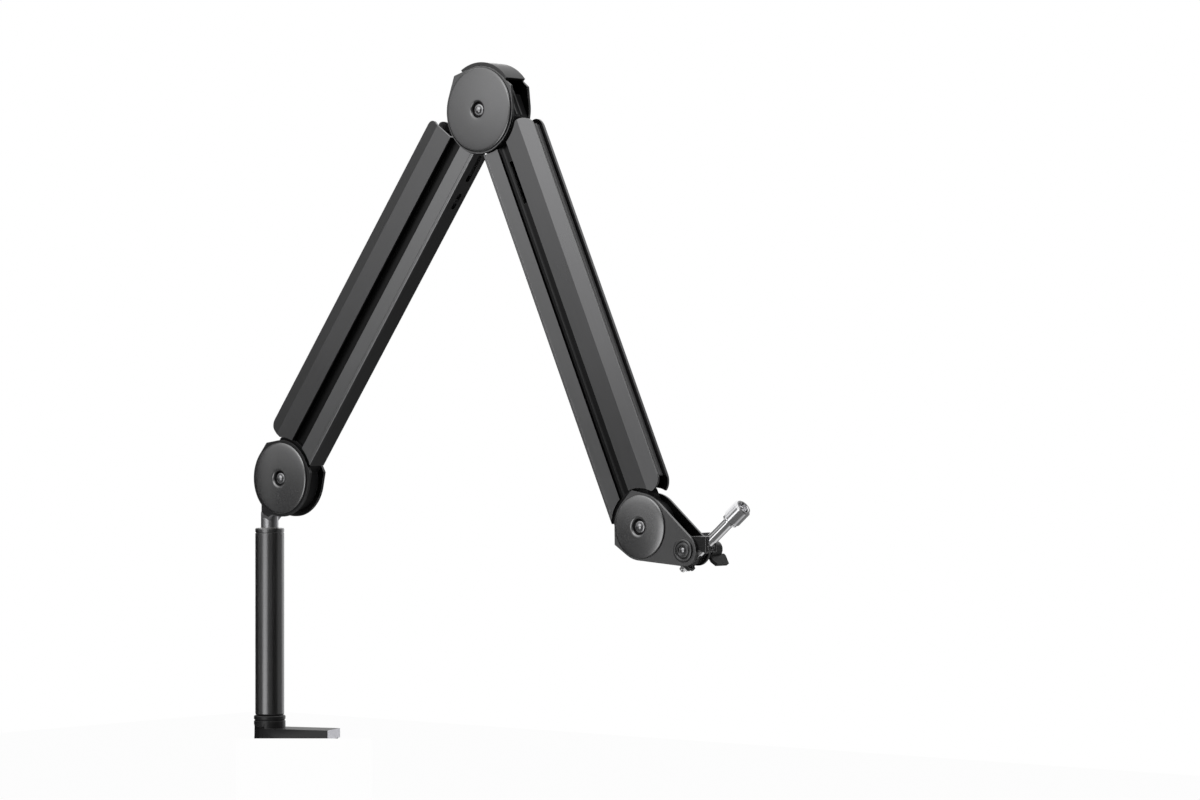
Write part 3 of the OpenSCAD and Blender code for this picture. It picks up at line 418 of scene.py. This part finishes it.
def coiled(name, wire, radius, pitch, turns, height, corners, steps):
    """A closed helix along z: a ring of corners swept round, as a thread's ridge or a spring's wire."""
    bpy.ops.object.select_all(action="DESELECT")
    bpy.ops.mesh.primitive_circle_add(vertices=corners, radius=wire * MM,
                                      location=(radius * MM, 0, height * MM),
                                      rotation=(0, -math.pi / 2, -math.pi / 2))
    piece = bpy.context.object
    piece.name = name
    bpy.ops.object.transform_apply(location=True, rotation=True, scale=True)
    sweep = piece.modifiers.new("Sweep", "SCREW")
    sweep.axis = "Z"
    sweep.screw_offset = pitch * MM
    sweep.iterations = turns
    sweep.steps = sweep.render_steps = steps
    bpy.ops.object.modifier_apply(modifier=sweep.name)
    edit(piece)
    bpy.ops.mesh.select_all(action="SELECT")
    bpy.ops.mesh.fill_holes(sides=0)
    bpy.ops.mesh.select_all(action="SELECT")
    bpy.ops.mesh.normals_make_consistent(inside=False)
    settle(piece, 40)
    return piece


def joined(first, *others):
    """Makes one piece of several; the first gives its name."""
    pick(first)
    for piece in others:
        piece.select_set(True)
    bpy.ops.object.join()
    return first


def moved(piece, matrix):
    """Takes a piece modelled at the origin to its place, which stays in its mesh."""
    piece.matrix_world = matrix
    pick(piece)
    bpy.ops.object.transform_apply(location=True, rotation=True, scale=True)
    return piece


zinc = coated("zinc_steel", (0.42, 0.42, 0.43), metallic=1.0, rough=0.3, grain=1400, depth=0.01, cloud=0.3)
screw_out = 38.65                          # from the riser's axis to the screw's
thread_low, thread_top = -112.5, -43.0
core = turned("clamp_spindle_turned", [
    (3.7, -124.6), (4.0, -124.3), (4.0, -116.2), (4.2, -115.8), (5.0, -115.4), (5.0, -113.5), (4.2, -112.5),
    (4.2, thread_top), (5.0, thread_top + 0.8), (5.0, -38.4), (4.6, -37.9), (3.0, -37.7), (3.0, -34.9),
    (2.7, -34.6)], 48)
ridge = coiled("clamp_spindle_thread", wire=0.95, radius=4.05, pitch=1.75, turns=39, height=thread_low + 0.4,
               corners=3, steps=32)
moved(joined(core, ridge), in_clamp @ Matrix.Translation((screw_out * MM, 0, 0)))
hang(core, zinc, "clamp_spindle")
broken_edges("clamp_foot", 0.25, zinc)

# Handle: a black glass-filled plastic bar moulded round the clamp screw's lower end, with the small
# zinc-plated steel screw that holds it there.
handle_black = coated("handle_plastic", (0.02, 0.02, 0.021), rough=0.45, grain=1300, depth=0.05, edge_highlight=0.4,
                      edge_highlight_tone=0.08)
broken_edges("clamp_handle", 0.6, handle_black)
dress(zinc, "handle_screw")


# Riser: a satin black anodised tube, drawn to size, with a turned groove at its top, the two white
# plastic bushes that the stem turns in and the grub screw that locks it in the casting.
def turned_bands(place):
    """Fine rings round the tube, as the lathe leaves them."""
    rings = place.node("TexNoise", {"noise_dimensions": "1D"},
                       {"W": place.along("Z"), "Scale": 900.0, "Detail": 2.0})
    return 0.94 + rings * 0.12


tube_black = coated("tube_black", (0.24, 0.24, 0.243), metallic=1.0, rough=0.3, grain=700, depth=0.008,
                    cloud=0.1, drawn=90, finish_and_shade=turned_bands)
broken_edges("riser_tube", 0.2, tube_black)
bush_white = coated("bush_plastic", (0.62, 0.61, 0.57), rough=0.5, grain=900, depth=0.03)
dress(bush_white, "riser_bushes")
dress(zinc, "riser_grub_screw")


# Yoke: a black casting whose round stem turns in the riser. Its neck is turned to bright metal and polished,
# with a painted highlight up to a pointed arch where the cast web begins, and painted shade between its
# cheeks.
def neck_polish_and_painted_light(place):
    """Polished neck, with a painted highlight below the arch; painted shade between the cheeks."""
    height = place.along("Z")
    across = place.along("X") - riser_x * MM
    along = place.along("Y") - arm_y * MM
    polish_and_highlight = (height + (abs(across) + abs(along)) * 0.9).rise(0.2135, 0.2120)
    inside = abs(along).rise(0.00785, 0.0074) * height.rise(0.215, 0.218)
    return 1 + polish_and_highlight * 5.0 - inside * 0.75


yoke_black = coated("yoke_black", (0.085, 0.085, 0.087), metallic=1.0, rough=0.36, grain=900, depth=0.02,
                    edge_highlight=0.5, edge_highlight_tone=0.42, finish_and_shade=neck_polish_and_painted_light)
broken_edges("base_yoke", 0.35, yoke_black)
steel = coated("steel", (0.5, 0.5, 0.51), metallic=1.0, rough=0.24, grain=1500, depth=0.008)
dress(steel, "yoke_clip", "base_axle", "base_stop_pin")

# Joint caps: turned aluminium discs, slightly crowned, with a rolled rim and a recess in the middle
# where a polished dome-headed screw holds each one on its axle. All three joints have a pair.
polished = coated("polished_steel", (0.45, 0.45, 0.46), metallic=1.0, rough=0.26, grain=1500, depth=0.004)


def crowned_cap(name, radius):
    recess = 6.6
    return turned(name, [
        (radius - 1.1, 0), (radius - 1.1, 0.35), (radius, 0.5), (radius, 0.75), (radius - 0.15, 1.0),
        (radius - 0.45, 1.25), (radius - 0.9, 1.43), (radius - 1.6, 1.58), (radius - 2.6, 1.72),
        (radius * 0.84, 1.98), (radius * 0.75, 2.2), (radius * 0.65, 2.42), (radius * 0.55, 2.61),
        (radius * 0.45, 2.77), (radius * 0.36, 2.89), (recess + 2.4, 2.96), (recess + 1.5, 2.9),
        (recess + 0.9, 2.72), (recess + 0.4, 2.4), (recess, 1.9), (recess - 0.2, 1.2), (recess - 0.3, 0.4),
        (recess - 0.6, 0.2), (4.0, 0.2)], 96)


def dome_screw(name):
    return turned(name, [(4.9, 0.1), (4.9, 0.55), (4.6, 0.75), (3.5, 0.8), (3.4, 1.1), (3.2, 1.5), (2.8, 1.9),
                         (2.2, 2.25), (1.5, 2.45), (0.8, 2.56), (0.3, 2.58)], 48)


base_pivot = (24, 234)                     # a pivot is (x, z) in mm from the riser's foot


def at_pivot(pivot, y=arm_y):
    return Vector((riser_x + pivot[0], y, pivot[1])) * MM


def painted_recess_shade(pivot):
    """Painted shade: the floor of a cap's recess is darkened almost to black."""
    def shade(place):
        away = place.vector("SUBTRACT", place, at_pivot(pivot, 0))
        away = place.vector("MULTIPLY", away, (1, 0, 1))
        return 1 - place.vector("LENGTH", away, out="Value").rise(0.0069, 0.0062) * 0.93
    return shade


def joint_face(pivot, side, out):
    """Where a cap sits on a joint's axis: out mm from the arm's plane, to the front (-1) or back (1)."""
    return (Matrix.Translation(at_pivot(pivot, arm_y + side * out))
            @ Matrix.Rotation(-side * math.pi / 2, 4, "X"))


def capped_joint(label, pivot, cap_finish_and_shade, caps, screws, radius, out):
    """A pair of caps and their screws; caps and screws name the solids that they stand for."""
    cap, dome = crowned_cap(label + "_cap_0", radius), dome_screw(label + "_dome_0")
    for index, side in enumerate((-1, 1)):
        part = copied(cap, label + "_cap_%d" % (index + 1))
        moved(part, joint_face(pivot, side, out))
        hang(part, cap_finish_and_shade, caps[index % len(caps)])
        part = copied(dome, label + "_dome_%d" % (index + 1))
        moved(part, joint_face(pivot, side, out))
        hang(part, polished, screws)
    for spare in (cap, dome):
        bpy.data.objects.remove(spare)


# The three pairs of caps are one turned aluminium; their tones (0.3 at the base, 0.23 at the elbow and 0.29
# at the end) differ as painted light for each joint.
base_cap_lit_tone = coated("base_cap_lit_tone", (0.3, 0.3, 0.303), metallic=1.0, rough=0.25, grain=1300, depth=0.003, cloud=0.1,
                  finish_and_shade=painted_recess_shade(base_pivot))
capped_joint("base", base_pivot, base_cap_lit_tone, ("base_cap_front", "base_cap_back"), "base_cap_screws",
             radius=31.8, out=10.1)
washer_tan = coated("washer_plastic", (0.5, 0.47, 0.4), rough=0.5, grain=900, depth=0.02)
dress(washer_tan, "base_washers")

# Lower arm: a box beam and a deep cable channel with leaning flanges, both extruded aluminium with
# a dark grey anodised skin drawn along their length. A narrow neck joins them, so a groove shows, deepened by
# painted shade.
lower_slope, lower_inset = 54, 21.5        # degrees up from level; mm from the pivots to the beam's face


def between(value, low, high, soft=0.0003):
    """1 where a value lies between two limits and 0 outside them."""
    return value.rise(low - soft, low + soft) * value.rise(high + soft, high - soft)


def extrusion_shadow(slope, pivot, inset):
    """Painted shade: darkens the groove between beam and channel, and the inner face of the beam."""
    def shade(place):
        local = place.node("Mapping", None, {"Vector": place.vector("SUBTRACT", place, at_pivot(pivot)),
                                             "Rotation": (0, math.radians(slope), 0)})
        across = local.along("Z") + inset * MM
        groove = abs(local.along("Y")).rise(0.0092, 0.0088) * between(across, 0.0165, 0.0305)
        inner = across.rise(0.0006, 0.0003)
        return 1 - groove * 0.88 - inner * 0.75
    return shade


# Anodised grey with drawn lines, and painted shade in the groove and on the beam's inner face.
def arm_finish_and_shade(name, shade, slope, pivot, inset):
    return coated(name, (shade, shade, shade * 1.015), metallic=1.0, rough=0.3, grain=900, depth=0.006,
                  edge_highlight=0.3, edge_highlight_tone=0.45, cloud=0.08, drawn=slope,
                  finish_and_shade=extrusion_shadow(slope, pivot, inset))


# The lower arm's tones are paler than the upper arm's: painted light on the one anodised grey.
for name, shade in (("lower_beam", 0.3), ("lower_channel", 0.19)):
    broken_edges(name, 0.3, arm_finish_and_shade(name + "_grey", shade, lower_slope, base_pivot, lower_inset))
cover_black = coated("cover_plastic", (0.07, 0.07, 0.071), rough=0.38, grain=1200, depth=0.03)
broken_edges("lower_cable_cover", 0.2, cover_black)
dress(steel, "lower_channel_screws")
tongue_black = coated("tongue_black", (0.006, 0.006, 0.0065), rough=0.5, grain=900, depth=0.02, gloss=0.2,
                      edge_highlight=0.6, edge_highlight_tone=0.1)
broken_edges("lower_tongue", 0.3, tongue_black)
dress(tongue_black, "lower_spring_anchor")
bronze = coated("bush_bronze", (0.42, 0.25, 0.11), metallic=1.0, rough=0.34, grain=1200, depth=0.02)
dress(bronze, "lower_bushes", "upper_bushes")

# Balance springs: close-wound steel wire inside each beam, which carries the arm's weight. Each is
# screwed on to a turned steel end at both ends and is held between its anchors.
spring_length, spring_pitch, spring_ends = 190, 1.7, 18
spring_rise = 8.5                          # from the beam's face to the spring's axis


def spring(name, pivot, slope, inset, start, node):
    """A spring in an arm's beam, start mm along it from the arm's first pivot."""
    turns = int((spring_length - spring_ends) / spring_pitch)
    coil = coiled(name, wire=0.8, radius=4.75, pitch=spring_pitch, turns=turns, height=9, corners=6, steps=16)
    near = turned(name + "_near", [(1.6, 0), (1.9, 0.3), (1.9, 5.5), (3.9, 6.2), (3.9, 10.7), (3.5, 11)], 20)
    far = copied(near, name + "_far")
    moved(far, Matrix.Translation((0, 0, spring_length * MM)) @ Matrix.Rotation(math.pi, 4, "X"))
    joined(coil, near, far)
    on_arm = (Matrix.Translation(at_pivot(pivot)) @ Matrix.Rotation(math.radians(-slope), 4, "Y")
              @ Matrix.Translation((0, 0, (spring_rise - inset) * MM)) @ Matrix.Rotation(math.pi / 2, 4, "Y"))
    moved(coil, on_arm @ Matrix.Translation((0, 0, start * MM)))
    hang(coil, steel, node)


spring("lower_spring_wound", base_pivot, lower_slope, lower_inset, start=73.3, node="lower_spring")

# Elbow: two stamped plates with bevelled corners on a black fork block, screwed to the lower arm.
# A rolled steel shield closes the joint's top between them. The plates' inner faces get painted shade.
elbow_pivot = (263.197, 552.168)


def painted_shade_inside(limit):
    """Painted shade: darkens the faces that lie less than limit mm from the arm's plane."""
    def shade(place):
        along = place.along("Y") - arm_y * MM
        return 1 - abs(along).rise((limit + 0.5) * MM, (limit + 0.15) * MM) * 0.8
    return shade


plate_grey = coated("plate_grey", (0.17, 0.17, 0.172), metallic=1.0, rough=0.36, grain=1300, depth=0.012,
                    edge_highlight=0.9, edge_highlight_tone=0.9, cloud=0.1, finish_and_shade=painted_shade_inside(9.6))
shield_grey = coated("shield_grey", (0.09, 0.09, 0.091), metallic=1.0, rough=0.38, grain=1100, depth=0.015,
                     edge_highlight=0.5, edge_highlight_tone=0.4, cloud=0.1)
for name in ("elbow_plate_front", "elbow_plate_back"):
    broken_edges(name, 0.3, plate_grey)
broken_edges("elbow_shield", 0.3, shield_grey)
broken_edges("elbow_fork_block", 0.3, cast_black)
dress(steel, "elbow_plate_screws", "elbow_axle", "elbow_stop_pin")
dress(washer_tan, "elbow_washers")
# The elbow caps' tone is painted shade on the same aluminium as the base caps.
cap_grey = coated("cap_grey", (0.23, 0.23, 0.233), metallic=1.0, rough=0.25, grain=1300, depth=0.003,
                  cloud=0.1, finish_and_shade=painted_recess_shade(elbow_pivot))
capped_joint("elbow", elbow_pivot, cap_grey, ("elbow_cap_front", "elbow_cap_back"), "elbow_cap_screws",
             radius=36.2, out=12.1)

# Upper arm: the same two extrusions, hung from a black tongue at each end. The elbow's tongue has
# two ribs along its top, whose lighter grey is a painted highlight, and the spring lies towards the arm's far
# end.
upper_slope, upper_inset, upper_length = -65.4, 15, 394.5
spring_gap = 67.7                          # from the spring's far end to the arm's far pivot
rib_along, rib_lift = 6.5, 30.7            # from the elbow's pivot to the middle of a rib
# Tones darker than the lower arm's: painted shade on the one anodised grey.
for name, shade in (("upper_beam", 0.25), ("upper_channel", 0.17)):
    broken_edges(name, 0.3, arm_finish_and_shade(name + "_grey", shade, upper_slope, elbow_pivot, upper_inset))
broken_edges("upper_cable_cover", 0.2, cover_black)
broken_edges("upper_elbow_tongue", 0.4, tongue_black)
broken_edges("upper_end_tongue", 0.3, tongue_black)
# Painted highlights: the ribs are lighter than the tongue, for the light along its top edges.
rib_highlight_grey = coated("rib_highlight_grey", (0.12, 0.12, 0.122), metallic=1.0, rough=0.4, grain=1100)
for index, side in enumerate((-4.6, 1.4)):
    bpy.ops.object.select_all(action="DESELECT")
    bpy.ops.mesh.primitive_cube_add(size=1)
    rib = bpy.context.object
    rib.name = "upper_tongue_rib_%d" % (index + 1)
    rib.dimensions = (27 * MM, 1.6 * MM, 1.2 * MM)
    bpy.ops.object.transform_apply(location=False, rotation=False, scale=True)
    edit(rib)
    bpy.ops.mesh.select_all(action="SELECT")
    bpy.ops.mesh.bevel(offset=0.35 * MM, offset_type="OFFSET", segments=2, affect="EDGES")
    settle(rib)
    moved(rib, Matrix.Translation(at_pivot(elbow_pivot)) @ Matrix.Rotation(math.radians(-upper_slope), 4, "Y")
          @ Matrix.Translation(Vector((rib_along, side, rib_lift)) * MM))
    rib.data.materials.append(rib_highlight_grey)
    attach(rib, "upper_arm")
dress(steel, "upper_channel_screws")
dress(tongue_black, "upper_spring_anchor")
spring("upper_spring_wound", elbow_pivot, upper_slope, upper_inset,
       start=upper_length - spring_gap - spring_length, node="upper_spring")

# End link: two stamped teardrop plates with a spacer between them, grey, with painted shade on their inner
# faces. They turn on a capped axle at the end of the upper arm.
end_pivot = (439.786, 199.136)
link_grey = coated("link_grey", (0.2, 0.2, 0.202), metallic=1.0, rough=0.36, grain=1300, depth=0.012,
                   edge_highlight=0.7, edge_highlight_tone=0.5, cloud=0.1, finish_and_shade=painted_shade_inside(7.6))
for name in ("link_plate_front", "link_plate_back"):
    broken_edges(name, 0.3, link_grey)
dress(tongue_black, "link_spacer")
dress(steel, "end_axle")
dress(washer_tan, "end_washers")
# The end caps' tone is painted light on the same aluminium as the other caps.
cap_end = coated("cap_end", (0.29, 0.29, 0.293), metallic=1.0, rough=0.25, grain=1300, depth=0.003, cloud=0.1,
                 finish_and_shade=painted_recess_shade(end_pivot))
capped_joint("end", end_pivot, cap_end, ("end_caps",), "end_cap_screws", radius=26.4, out=10.1)

# Tilt bolt: a black turned head with a grooved rim and a polished dome in its recess; its shank
# carries a spacer tube and the wing nut that tightens the knuckle.
tilt_pivot = (485.496, 180.668)
bolt_face = joint_face(tilt_pivot, -1, 10.1)
bolt_black = coated("bolt_black", (0.15, 0.15, 0.152), metallic=1.0, rough=0.34, grain=1300, depth=0.012)
head = turned("tilt_bolt_turned", [
    (9.7, 0), (9.7, 0.9), (9.5, 1.4), (9.0, 1.7), (8.2, 1.8), (7.6, 1.7), (7.2, 1.3), (6.9, 1.1), (6.5, 1.3),
    (6.1, 1.8), (5.2, 2.0), (4.4, 1.95), (4.0, 1.6), (3.7, 0.9), (3.3, 0.7)], 64)
shank = turned("tilt_bolt_shank", [(2.2, -44.2), (2.5, -43.9), (2.5, 0.2)], 32)
collar = turned("tilt_bolt_collar", [(7.2, -28.1), (7.5, -27.8), (7.5, -20.5), (7.2, -20.2)], 48)
moved(joined(head, shank, collar), bolt_face)
hang(head, bolt_black, "tilt_bolt")
dome = turned("tilt_bolt_dome", [(2.7, 0.6), (2.7, 1.0), (2.5, 1.4), (2.0, 1.75), (1.3, 2.0), (0.6, 2.1),
                                 (0.2, 2.12)], 40)
moved(dome, bolt_face)
hang(dome, polished, "tilt_bolt")
broken_edges("wing_nut", 0.5, cast_black)

# Knuckle: a black painted casting, with painted highlights along its edges. It is split along its foot, so
# that the bolt pinches the rod that passes through.
knuckle_black = coated("knuckle_black", (0.01, 0.01, 0.0105), rough=0.28, grain=1100, depth=0.02, edge_highlight=0.6,
                       edge_highlight_tone=0.6)
broken_edges("mic_knuckle", 0.4, knuckle_black)

# Rod and thread adapter: chromed steel. The rod has a nut on its tail, and the adapter screws on its
# tip, with a 27-per-inch thread cut round it and a smaller one inside.
rod_slope, rod_drop = 39.5, 6.7            # degrees up from level; mm below the tilt pivot
chrome = coated("chrome", (0.88, 0.88, 0.89), metallic=1.0, rough=0.1, grain=1500, depth=0.001, cloud=0.06)
broken_edges("mic_rod", 0.25, chrome)
on_rod = (Matrix.Translation(at_pivot(tilt_pivot)) @ Matrix.Rotation(math.radians(-rod_slope), 4, "Y")
          @ Matrix.Translation((0, 0, -rod_drop * MM)) @ Matrix.Rotation(math.pi / 2, 4, "Y"))
sleeve = turned("adapter_turned", [
    (6.6, 47.0), (7.0, 47.4), (7.0, 49.2), (6.7, 49.5), (7.2, 49.9), (7.2, 64.9), (6.5, 65.5), (5.2, 65.5),
    (4.7, 65.0), (4.7, 57.0), (4.2, 56.6)], 64)
ridge = coiled("adapter_thread", wire=0.54, radius=7.39, pitch=0.94, turns=15, height=50.35, corners=3,
               steps=48)
moved(joined(sleeve, ridge), on_rod)
hang(sleeve, chrome, "thread_adapter")
